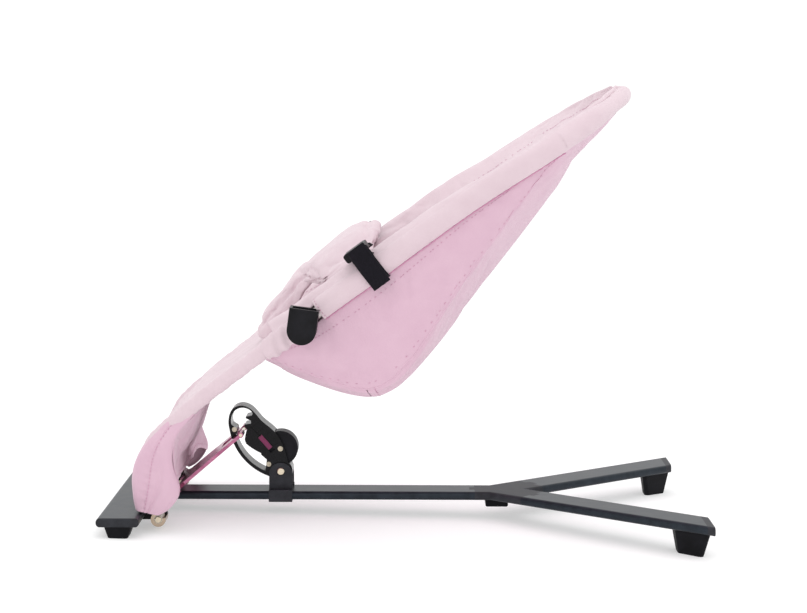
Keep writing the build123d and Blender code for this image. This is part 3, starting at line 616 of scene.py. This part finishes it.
def sling_section(station, inset=0.0):
    """One side of the sling's section as (sideways, share of the depth), from the hoop to the middle."""
    hoop_back, hoop_up, low_back, low_up, half = station
    depth = math.hypot(low_back - hoop_back, low_up - hoop_up)
    start = min(0.6, 9 / depth)
    corner = max(0.55, 1 - 14 / depth)
    wide = half - min(30, 0.35 * depth + 8)
    points = [
        (half - 1 - inset, start), (half - 6 - inset, start * 0.6 + corner * 0.4),
        (wide + 9 - inset, corner), (wide - 3 - inset, 0.5 + corner / 2), (wide - 20, 1.0 - inset / depth),
        (wide * 0.5, 1.0 + (2 - inset) / depth), (0, 1.0 + (3 - inset) / depth),
    ]
    line = through(points, 400)
    corner_at = int(np.argmin(np.abs(line[:200, 1] - corner)))
    gusset = spaced(line[: corner_at + 1] * (1, depth), GUSSET_COLUMNS)
    back = spaced(line[corner_at:] * (1, depth), BACK_COLUMNS // 2 + 1)
    return np.vstack([gusset, back[1:]]) / (1, depth)


def sling_grid(inset=0.0):
    stations = through(SLING, SLING_ROWS)
    rows = []
    for station in stations:
        half = sling_section(station, inset)
        share = half[:, 1]
        back = station[0] + (station[2] - station[0]) * share
        up = station[1] + (station[3] - station[1]) * share
        left = np.stack([back, -half[:, 0], up], 1)
        right = left[::-1] * (1, -1, 1)
        rows.append(np.vstack([left, right[1:]]))
    return on_seat(rows)


def make_sling():
    grid = sling_grid()
    rows, columns = grid.shape[:2]
    side = np.abs(np.linspace(-1, 1, columns))[None, :]
    down = np.linspace(0, 1, rows)[:, None]
    normal = grid_normals(grid)
    pull_folds = np.sin(down * 150 + 9 * side) * ease(side, 0.86, 1.0) * 0.5
    slack = rumple(grid, 70, 1) * 1.6 + rumple(grid, 24, 2) * 0.5
    grid = grid + normal * ((pull_folds + slack * (1 - ease(side, 0.9, 1)))[..., None] * MM)
    sewn = np.zeros((rows, columns), bool)
    sewn[:, :3] = sewn[:, -3:] = True
    sewn[:2] = sewn[-3:] = True
    for column in (GUSSET_COLUMNS - 1, columns - GUSSET_COLUMNS):
        sewn[::6, column] = True
    grid = settle(grid, sewn, frames=16, spare=0.006, pull=0.08)
    lowest = int(np.argmin(np.abs(grid[:, columns // 2, 0] - hinge.x - LOWEST_BACK * MM)))
    left = grid[:, :GUSSET_COLUMNS]
    right = grid[:, columns - GUSSET_COLUMNS:]
    middle = grid[:, GUSSET_COLUMNS - 1 : columns - GUSSET_COLUMNS + 1]
    sewn_sheet("gusset_left", left, shaded_pink, "side_panel_left")
    sewn_sheet("gusset_right", right, shaded_pink, "side_panel_right")
    sewn_sheet("seat_bottom", middle[: lowest + 1], shaded_pink, "pocket_base")
    sewn_sheet("sling_back", middle[lowest:], shaded_pink, "back_panel")
    seam("thread_gusset_left", left, lambda g: g[:, -3], -1.0)
    seam("thread_gusset_right", right, lambda g: g[:, 2], -1.0)
    seam("thread_gusset_top_left", left, lambda g: g[:-16, 4], -1.0)
    seam("thread_gusset_top_right", right, lambda g: g[:-16, -5], -1.0)
    seam("thread_bottom_seam", middle, lambda g: g[lowest + 2], -1.0)
    for name, column, edge in (("piping_left", -1, left), ("piping_right", 0, right)):
        tube = wrapped(edge[:, column], SEAT_UP, even_wall(PIPING_RADIUS), 8)
        piping = cloth(name, tube, shaded_pink, ring=True)


def liner_section(station):
    """Half the inner pad's section, from rim to middle, as (sideways, height over the hoop's centre)."""
    depth = math.hypot(station[2] - station[0], station[3] - station[1])
    half = station[4]
    rim = 8 + 13 * float(1 - ease(station[0], 190, 520))
    wide = min(half * 0.3, 50)
    hollow = depth * 0.5
    points = [
        (half + 5, 8.5), (half, 12.5), (half - 0.22 * wide, rim), (half - 0.5 * wide, rim - 1.5),
        (half - wide, rim - 9), (half * 0.45, -0.7 * hollow), (0, 1 - hollow),
    ]
    return spaced(through(points, 300), 52)


def make_liner():
    """The quilted inner pad that the sitter lies on, with a soft rim beside each sleeve."""
    stations = through(SLING, 150)[8:]
    ahead = np.gradient(stations[:, :2], axis=0)
    ahead /= np.linalg.norm(ahead, axis=1)[:, None]
    rows = []
    for station, run in zip(stations, ahead):
        half = liner_section(station)
        back = station[0] - run[1] * half[:, 1]
        up = station[1] + run[0] * half[:, 1]
        left = np.stack([back, -half[:, 0], up], 1)
        rows.append(np.vstack([left, left[-2::-1] * (1, -1, 1)]))
    grid = on_seat(rows)
    count, columns = grid.shape[:2]
    side = np.linspace(-1, 1, columns)[None, :]
    normal = grid_normals(grid)
    along = np.linspace(0, length_of(grid[:, columns // 2]), count)[:, None]
    wave = 1.2 * np.cos(side * math.pi * 9)
    scallop = np.abs(np.sin(along * math.pi / QUILT_PITCH + wave))
    quilted = (1.6 * scallop**0.45 - 1.0) * ease(1 - np.abs(side), 0.0, 0.05)
    raised = quilted + rumple(grid, 60, 5) * 0.9
    grid = grid + normal * (raised * MM)[..., None]
    sewn = np.zeros((count, columns), bool)
    sewn[:, :6] = sewn[:, -6:] = True
    sewn[:2] = sewn[-2:] = True
    grid = settle(grid, sewn, frames=12, spare=0.006, pull=0.15)
    piece = cloth("quilted_liner", grid, lit_pink, thick=3.0)
    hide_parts("back_panel")
    for name, column in (("thread_rim_left", RIM_COLUMN), ("thread_rim_right", -RIM_COLUMN - 1)):
        facing = grid_normals(grid)[:, column]
        stitches(name, grid[:, column] + facing * 0.0018, facing)


# ---------------------------------------------------------------- sleeves
SLEEVE_RADIUS = 13.4
HEAD_SLEEVE_RADIUS = 10.3
HEM_FROM_HIP = 29
CROWN_FROM_HIP = 368
SLEEVE_PITCH = 3.2
LEG_PITCH = 2.6
CUFF_PITCH = 1.6
LEG_SLEEVE_RADIUS = 8.6
CUFF_RADIUS = 11.6
PANEL_ABOVE = 8.0


def cut_line(line, start, end, pitch):
    """The part of a line between two distances along it in millimetres, resampled at a pitch."""
    steps = np.linalg.norm(np.diff(line, axis=0), axis=1)
    along = np.concatenate([[0], np.cumsum(steps)]) / MM
    wanted = np.arange(start, end, pitch)
    return np.stack([np.interp(wanted, along, line[:, i]) for i in range(3)], 1)


def sleeve_wall(radius, length, pucker=0.7, seed=3):
    """Padded wall: quilting on the inner side, puckers at the lower seam, soft lumps elsewhere."""

    def wall(share, angle):
        along = share * length
        top = ease(np.sin(angle), -0.2, 0.9)
        low = np.exp(-((angle - 1.5 * math.pi) / 0.3) ** 2)
        inner = np.exp(-((angle - 0.62 * math.pi) / 0.5) ** 2)
        scallop = np.abs(np.sin(along * math.pi / 25)) ** 0.5
        lumps = 0.5 * np.sin(along / 17.3 + seed) * np.sin(angle * 2 + seed)
        lumps = lumps + 0.4 * np.sin(along / 41 + angle)
        puckers = np.sin(along * 0.83 + 1.7 * np.sin(along * 0.11)) * pucker
        return radius + lumps + (scallop - 0.6) * inner * 1.3 * top + low * (puckers - 0.9)

    return wall


def make_sleeves():
    line = hoop_line(700)
    whole = length_of(line)
    crown = CROWN_FROM_HIP
    runs = (
        ("sleeve_left", "side_sleeve_left", HEM_FROM_HIP, crown),
        ("sleeve_right", "side_sleeve_right", whole - crown, whole - HEM_FROM_HIP),
    )
    for name, node, start, end in runs:
        path = cut_line(line, start, end, SLEEVE_PITCH)
        grid = wrapped(path, SEAT_UP, sleeve_wall(SLEEVE_RADIUS, end - start), 40)
        piece = cloth(name, grid, lit_pink, ring=True)
        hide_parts(node)
        hem = path[2 if "left" in name else -3]
        at_hem = grid[1 if "left" in name else -2]
        around = np.vstack([at_hem, at_hem[:1]])
        facing = around - hem
        lifted = around + facing / np.linalg.norm(facing, axis=1)[:, None] * 0.0004
        stitches(f"thread_hem_{name}", lifted, facing)
        outside = grid[:-1, 31 if "left" in name else 29]
        facing = outside - path[:-1]
        facing /= np.linalg.norm(facing, axis=1)[:, None]
        ripple = 0.5 * np.sin(np.arange(len(outside)) * 1.9) * MM
        cord_line = outside + facing * (0.7 * MM + ripple[:, None] * 0.4)
        seam_roll = wrapped(cord_line, SEAT_UP, even_wall(SEAM_ROLL_RADIUS), 8)
        cloth(f"seam_roll_{name}", seam_roll, thread_pink, ring=True)
    head = cut_line(line, crown - 4, whole - crown + 4, SLEEVE_PITCH)
    base = sleeve_wall(HEAD_SLEEVE_RADIUS, whole - 2 * crown, 0.5, 5)

    def head_wall(share, angle):
        near_end = 1 - ease(np.minimum(share, 1 - share), 0, 0.3)
        return base(share, angle) + (SLEEVE_RADIUS - HEAD_SLEEVE_RADIUS + 0.4) * near_end

    piece = cloth("sleeve_head", wrapped(head, SEAT_UP, head_wall, 36), lit_pink, ring=True)
    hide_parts("head_sleeve")


def leg_wall(share, angle):
    """The thin sleeve on a lower tube, with shallow folds."""
    folds = 0.35 * np.sin(share * 61 + angle * 2) + 0.3 * np.sin(share * 163 - angle)
    return LEG_SLEEVE_RADIUS + folds * (1 + ease(share, 0.8, 1))


def cuff_wall(share, angle):
    """The gathered cuff below the hip, fuller underneath."""
    low = ease(-np.sin(angle), 0.1, 1)
    folds = np.sin(share * 21 + 2.2 * np.sin(angle)) * (0.7 + 0.5 * low) * ease(share, 0, 0.15)
    return CUFF_RADIUS + low * 2.4 + folds - 2.2 * ease(share, 0.7, 1)


def make_leg_sleeves():
    line = leg_line(500)
    leg_path = cut_line(line, 44, length_of(line) - 12, LEG_PITCH)
    cuff_path = cut_line(line, 6, 54, CUFF_PITCH)
    pieces = (
        ("leg_sleeve_cloth", wrapped(leg_path, SEAT_UP, leg_wall, 28), 0.2),
        ("hip_cuff", wrapped(cuff_path, SEAT_UP, cuff_wall, 36), 0.3),
    )
    for side in ("left", "right"):
        for name, wall, fill in pieces:
            grid = wall if side == "left" else mirrored(wall)
            piece = cloth(f"{name}_{side}", grid, lit_pink, ring=True, thick=0.8)
            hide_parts(f"leg_sleeve_{side}")


def make_leg_panel():
    """Stretched cloth from tube to tube below the seat."""
    left = cut_line(leg_line(500), 20, 166, 4)
    above = ring_frames(left, SEAT_UP)[1]
    edge = left + above * PANEL_ABOVE * MM
    across = np.linspace(-1, 1, 66)[None, :, None]
    spread = np.abs(edge[:, None, 1:2]) * across
    grid = edge[:, None] * np.array([1, 0, 1]) + spread * np.array([0, 1, 0])
    down = np.linspace(0, 1, len(left))[:, None]
    sag = (1 - across**4) * 5.0 * (1 - down[:, :, None] ** 2)
    grid = grid - above[:, None] * sag * MM
    free = 1 - across[0, :, 0][None, :] ** 6
    raised = rumple(grid, 60, 8) * 1.2 * free + 2.6 * free
    grid = grid + above[:, None] * (raised[..., None] * MM)
    sewn = np.zeros(grid.shape[:2], bool)
    sewn[:, :2] = sewn[:, -2:] = True
    sewn[:2] = sewn[-2:] = True
    grid = settle(grid[:, ::-1], sewn, frames=14, spare=0.004, pull=0.15)
    sewn_sheet("leg_panel_cloth", grid, lit_pink, "leg_panel")


# ---------------------------------------------------------------- foot end
FOOT_HALF = 158
FOOT_FRONT = (
    (43, 151.5), (31, 141), (20, 131), (8.6, 119.8), (-5.5, 104.9), (-13.8, 94.3), (-20.8, 83),
    (-26.1, 70.8), (-28.6, 59.8), (-29.3, 48.3), (-28.2, 36), (-27, 27), (-25.6, 20.5), (-24, 14.4),
)
FOOT_REAR = ((44, 131), (35, 120), (26, 108), (20, 96), (16.5, 80), (15.5, 66), (16.5, 53), (18.5, 41))
WALL_REAR = (
    (44, 131), (35, 120), (26, 108), (20.5, 96), (18, 80), (19.5, 66), (24, 53), (27, 42), (26, 32),
    (20, 22), (12, 14), (3, 9),
)
FOOT_ROWS = 52
FOOT_COLUMNS = 90
WALL_ROWS = 60
WALL_COLUMNS = 30
WALL_SEAM_COLUMN = 11
WALL_SEAM = 0.33


def foot_sheet(outline, half, sag=None):
    """A sheet across the foot end from its outline in side view; with a sag, its two ends round back."""
    line = through(outline, FOOT_ROWS)
    across = np.linspace(-1, 1, FOOT_COLUMNS)
    turn = np.gradient(line, axis=0)
    turn /= np.linalg.norm(turn, axis=1)[:, None]
    inward = np.stack([-turn[:, 1], turn[:, 0]], 1)
    depth = np.zeros((FOOT_ROWS, FOOT_COLUMNS))
    if sag is not None:
        down = np.linspace(0, 1, FOOT_ROWS)[:, None]
        edge = np.clip((np.abs(across) * half - (half - 7)) / 7, 0, 1)[None, :]
        rounded = 6 * (1 - np.sqrt(1 - 0.96 * edge**2))
        depth = rounded + sag * (1 - np.abs(across[None, :]) ** 3) * np.sin(down * math.pi) ** 0.7
    back = line[:, 0][:, None] + inward[:, 0][:, None] * depth
    up = line[:, 1][:, None] + inward[:, 1][:, None] * depth
    return np.stack([back, np.broadcast_to(across[None, :] * half, back.shape), up], 2)


def rounded_off(share, depth, width):
    """How far a wall bends in near its edge, in millimetres; share is 0 at the edge."""
    return depth * (1 - np.sqrt(1 - (1 - np.clip(share / width, 0, 1)) ** 2))


def foot_wall():
    """The left side wall of the foot end, on the seat in metres."""
    ahead = through(FOOT_FRONT, WALL_ROWS)
    behind = through(WALL_REAR, WALL_ROWS)
    share = np.linspace(0, 1, WALL_COLUMNS)[None, :]
    flat = ahead[:, None] * (1 - share[..., None]) + behind[:, None] * share[..., None]
    down = np.linspace(0, 1, WALL_ROWS)[:, None]
    bulge = np.sin(share * math.pi) ** 0.6 * np.sin(np.clip(down * 1.08, 0, 1) * math.pi) ** 0.5 * 5
    crease = 2.2 * np.exp(-((share - 0.8 + 0.3 * down) / 0.05) ** 2) * ease(down, 0.5, 0.75)
    seam_dip = 1.2 * np.exp(-((share - WALL_SEAM) / 0.035) ** 2)
    puckers = 0.5 * np.sin(down * 95) * np.exp(-((share - WALL_SEAM) / 0.16) ** 2)
    fold_in = rounded_off(share, 7, 0.16) + rounded_off(1 - share, 6, 0.2)
    side = FOOT_HALF + 1 + bulge * 0.6 - fold_in - crease - seam_dip + puckers
    wall = on_seat(np.stack([flat[..., 0], -side, flat[..., 1]], 2))
    wall[..., 1] += rumple(wall, 26, 17) * 1.0 * MM
    return wall


def make_foot_pocket():
    front = foot_sheet(FOOT_FRONT, FOOT_HALF, 4)
    rear = foot_sheet(FOOT_REAR, FOOT_HALF - 2)[:, ::-1]
    beside = np.abs(np.linspace(-1, 1, FOOT_COLUMNS)[None, :])
    edge = foot_sheet(WALL_REAR[:9], FOOT_HALF - 2)[:, ::-1]
    rear = rear + (edge - rear) * (beside**9)[..., None]
    middle = 1 - beside**6
    rear[:, :, 0] += 5 * np.sin(np.linspace(0, 1, FOOT_ROWS) * math.pi)[:, None] * middle
    front, rear = on_seat(front), on_seat(rear)
    for grid, seed, strength in ((front, 11, 1.4), (rear, 14, 2.6)):
        raised = rumple(grid, 38, seed) * strength + rumple(grid, 14, seed) * 0.5
        grid += grid_normals(grid) * (raised[..., None] * MM)
    sewn = np.zeros(front.shape[:2], bool)
    sewn[:, :3] = sewn[:, -3:] = True
    sewn[:3] = True
    sewn[-2:, ::4] = True
    front = settle(front, sewn, frames=14, spare=0.01, pull=0.15)
    rear = settle(rear, sewn, frames=14, spare=0.016, pull=0.15)
    sewn_sheet("foot_front", front[:, ::-1], lit_pink, "foot_cover")
    sewn_sheet("foot_rear", rear[:, ::-1], shaded_pink, "foot_cover")
    seam("thread_foot_hem", front, lambda g: g[-4], -1.0)
    seam("thread_foot_hem_rear", rear, lambda g: g[-4], -1.0)
    wall = foot_wall()
    for name, grid in (("foot_wall_left", wall), ("foot_wall_right", mirrored(wall))):
        sewn_sheet(name, grid[::-1], shaded_pink, "foot_cover")
    for name, grid, outward in (
        ("thread_foot_arc_left", wall, -1),
        ("thread_foot_arc_right", wall * (1, -1, 1), 1),
    ):
        faces_out = grid_normals(grid)[30, 15, 1] * outward > 0
        seam(name, grid, lambda g: g[2:-3, WALL_SEAM_COLUMN], 1.0 if faces_out else -1.0)


# ---------------------------------------------------------------- lap panel
LAP = (
    # centre line in side view (back, up) and half the panel's width there
    (104, 206, 36), (112, 224, 37), (122, 240, 39), (135, 257, 42), (149, 275, 47), (160, 288, 54),
    (170, 298, 92), (183, 309.5, 140), (204, 327, 153), (222, 338.5, 155), (237, 344.5, 154),
    (248, 345.5, 150), (254, 342, 146),
)
LAP_ROWS = 74
LAP_COLUMNS = 88
CHANNEL_IN = 14


def make_lap_panel():
    lines = through(LAP, LAP_ROWS)
    across = np.linspace(-1, 1, LAP_COLUMNS)
    curl = ease(np.abs(across), 0.45, 1.0)[None, :] ** 1.3
    wing = ease(lines[:, 2], 50, 130)[:, None]
    drop = curl * (15 * (1 - wing) + 27 * wing) + 2 * (1 - curl)
    turn = np.gradient(lines[:, :2], axis=0)
    turn /= np.linalg.norm(turn, axis=1)[:, None]
    back = lines[:, 0][:, None] + drop * turn[:, 1][:, None]
    up = lines[:, 1][:, None] - drop * turn[:, 0][:, None]
    side = lines[:, 2][:, None] * across[None, :]
    grid = on_seat(np.stack([back, side, up], 2))
    sewn = np.zeros(grid.shape[:2], bool)
    sewn[:2] = True
    sewn[36:, :3] = sewn[36:, -3:] = True
    sewn[-1, ::6] = True
    grid = settle(grid, sewn, frames=12, spare=0.006, pull=0.05)
    far = edge_distance(*grid.shape[:2], 210, 300)
    widths = np.abs(across)[None, :] * lines[:, 2][:, None]
    far = np.minimum(far, np.maximum(lines[:, 2][:, None] - widths, 0))
    channel = 1 - 0.55 * np.exp(-((far - CHANNEL_IN) / 2.2) ** 2)
    puff = 7.5 * (1 - np.exp(-far / 5)) * channel
    puff = puff + rumple(grid, 26, 21) * 0.9 * (1 - np.exp(-far / 4))
    puff[0] = puff[-1] = 0
    puff[:, 0] = puff[:, -1] = 0
    piece = pillow("lap_panel", grid, puff, lit_pink)
    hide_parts("restraint_panel")


# ---------------------------------------------------------------- webbing
BUCKLE_FROM_HIP = 107
WEBBING_HALF = 12.5
TAIL_HALF = 11.5
WEBBING_THICK = 1.5


def strap(name, loop, half):
    """A strip of webbing along a line of (outward, up) places round the hoop, at the buckle."""
    path = cut_line(hoop_line(700), 0, 300, 1)
    out, above = ring_frames(path, SEAT_UP)
    spot = BUCKLE_FROM_HIP
    ahead = path[spot + 1] - path[spot]
    ahead /= np.linalg.norm(ahead)
    rows = []
    for place in np.linspace(-half, half, 8):
        start = path[spot] + ahead * place * MM
        rows.append([start + out[spot] * side * MM + above[spot] * up * MM for side, up in through(loop, 70)])
    grid = np.array(rows)
    for side, strip in (("left", grid), ("right", mirrored(grid))):
        piece = cloth(f"{name}_{side}", strip, strap_black, thick=WEBBING_THICK)
        flat = cut_size(strip, WEBBING_ALLOWANCE)
        cut_area(strip, flat)
        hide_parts(f"webbing_loop_{side}")


def make_webbing():
    loop = [
        (15.2, 30), (15.4, 14), (14.6, 2), (11, -10), (2, -15.8), (-8, -13), (-14.4, -4), (-13.6, 6),
        (-9, 13), (-2, 16), (6, 17.4), (12.8, 20), (13.8, 30),
    ]
    strap("strap_loop", loop, WEBBING_HALF)
    strap("strap_tail", [(16.8, 34), (17.4, 20), (18.4, 4), (18.6, -10), (17.6, -19)], TAIL_HALF)
    strap("strap_tab", [(-24, 26.5), (-30, 27), (-38, 25), (-48, 22)], TAIL_HALF)


make_sleeves()
make_sling()
make_liner()
make_leg_sleeves()
make_leg_panel()
make_foot_pocket()
make_lap_panel()
make_webbing()


# ---------------------------------------------------------------- studio
def make_floor():
    bpy.ops.mesh.primitive_plane_add(size=60, location=(0, 20, 0))
    floor = bpy.context.object
    floor.name = "studio_floor"
    paper = Finish("studio_paper", Roughness=0.95, Specular_IOR_Level=0.0, Emission_Strength=0.42)
    tone = paper.ramp(paper.noise(3), (0.3, (0.63, 0.63, 0.632)), (0.7, (0.65, 0.65, 0.65)))
    paper.shader.inputs["Emission Color"].default_value = (1, 1, 1, 1)
    floor.data.materials.append(paper.feed(Base_Color=tone))


def make_light(name, place, aim, size, power):
    lamp = bpy.data.lights.new(name, "AREA")
    lamp.shape = "RECTANGLE"
    lamp.size, lamp.size_y = size
    lamp.energy = power
    light = bpy.data.objects.new(name, lamp)
    bpy.context.scene.collection.objects.link(light)
    light.location = place
    light.rotation_euler = (Vector(aim) - light.location).to_track_quat("-Z", "Y").to_euler()


def make_studio():
    make_floor()
    make_light("overhead", (0.2, 0.1, 2.6), (0, 0, 0.1), (3.2, 2.6), 18)
    make_light("front_fill", (-0.6, -3.4, 1.6), (0, 0, 0.25), (2.6, 1.8), 5)
    world = bpy.data.worlds.new("white_cove")
    bpy.context.scene.world = world
    world.use_nodes = True
    sky = world.node_tree.nodes["Background"]
    sky.inputs["Color"].default_value = (1, 1, 1, 1)
    sky.inputs["Strength"].default_value = 1.06
    bpy.context.scene.view_settings.view_transform = "Standard"


CAMERA_PLACE = (0.00105, -2.44898, 0.51294)
CAMERA_TURN = (0.003, 0.103, 0.026)
CAMERA_LENS = 88.86


def make_camera():
    """A long lens low on the sitter's left, turned as a tilted tripod head would leave it."""
    yaw, pitch, roll = CAMERA_TURN
    ahead = Vector((-math.sin(yaw) * math.cos(pitch), math.cos(yaw) * math.cos(pitch), -math.sin(pitch)))
    level = Vector((math.cos(yaw), math.sin(yaw), 0))
    above = level.cross(ahead)
    right = level * math.cos(roll) + above * math.sin(roll)
    top = above * math.cos(roll) - level * math.sin(roll)
    lens = bpy.data.cameras.new("studio_camera")
    lens.lens = CAMERA_LENS
    lens.sensor_width = 36
    lens.clip_end = 200
    camera = bpy.data.objects.new("studio_camera", lens)
    bpy.context.scene.collection.objects.link(camera)
    turned = Matrix((right, top, -ahead)).transposed().to_4x4()
    camera.matrix_world = Matrix.Translation(CAMERA_PLACE) @ turned
    bpy.context.scene.camera = camera


make_studio()
make_camera()
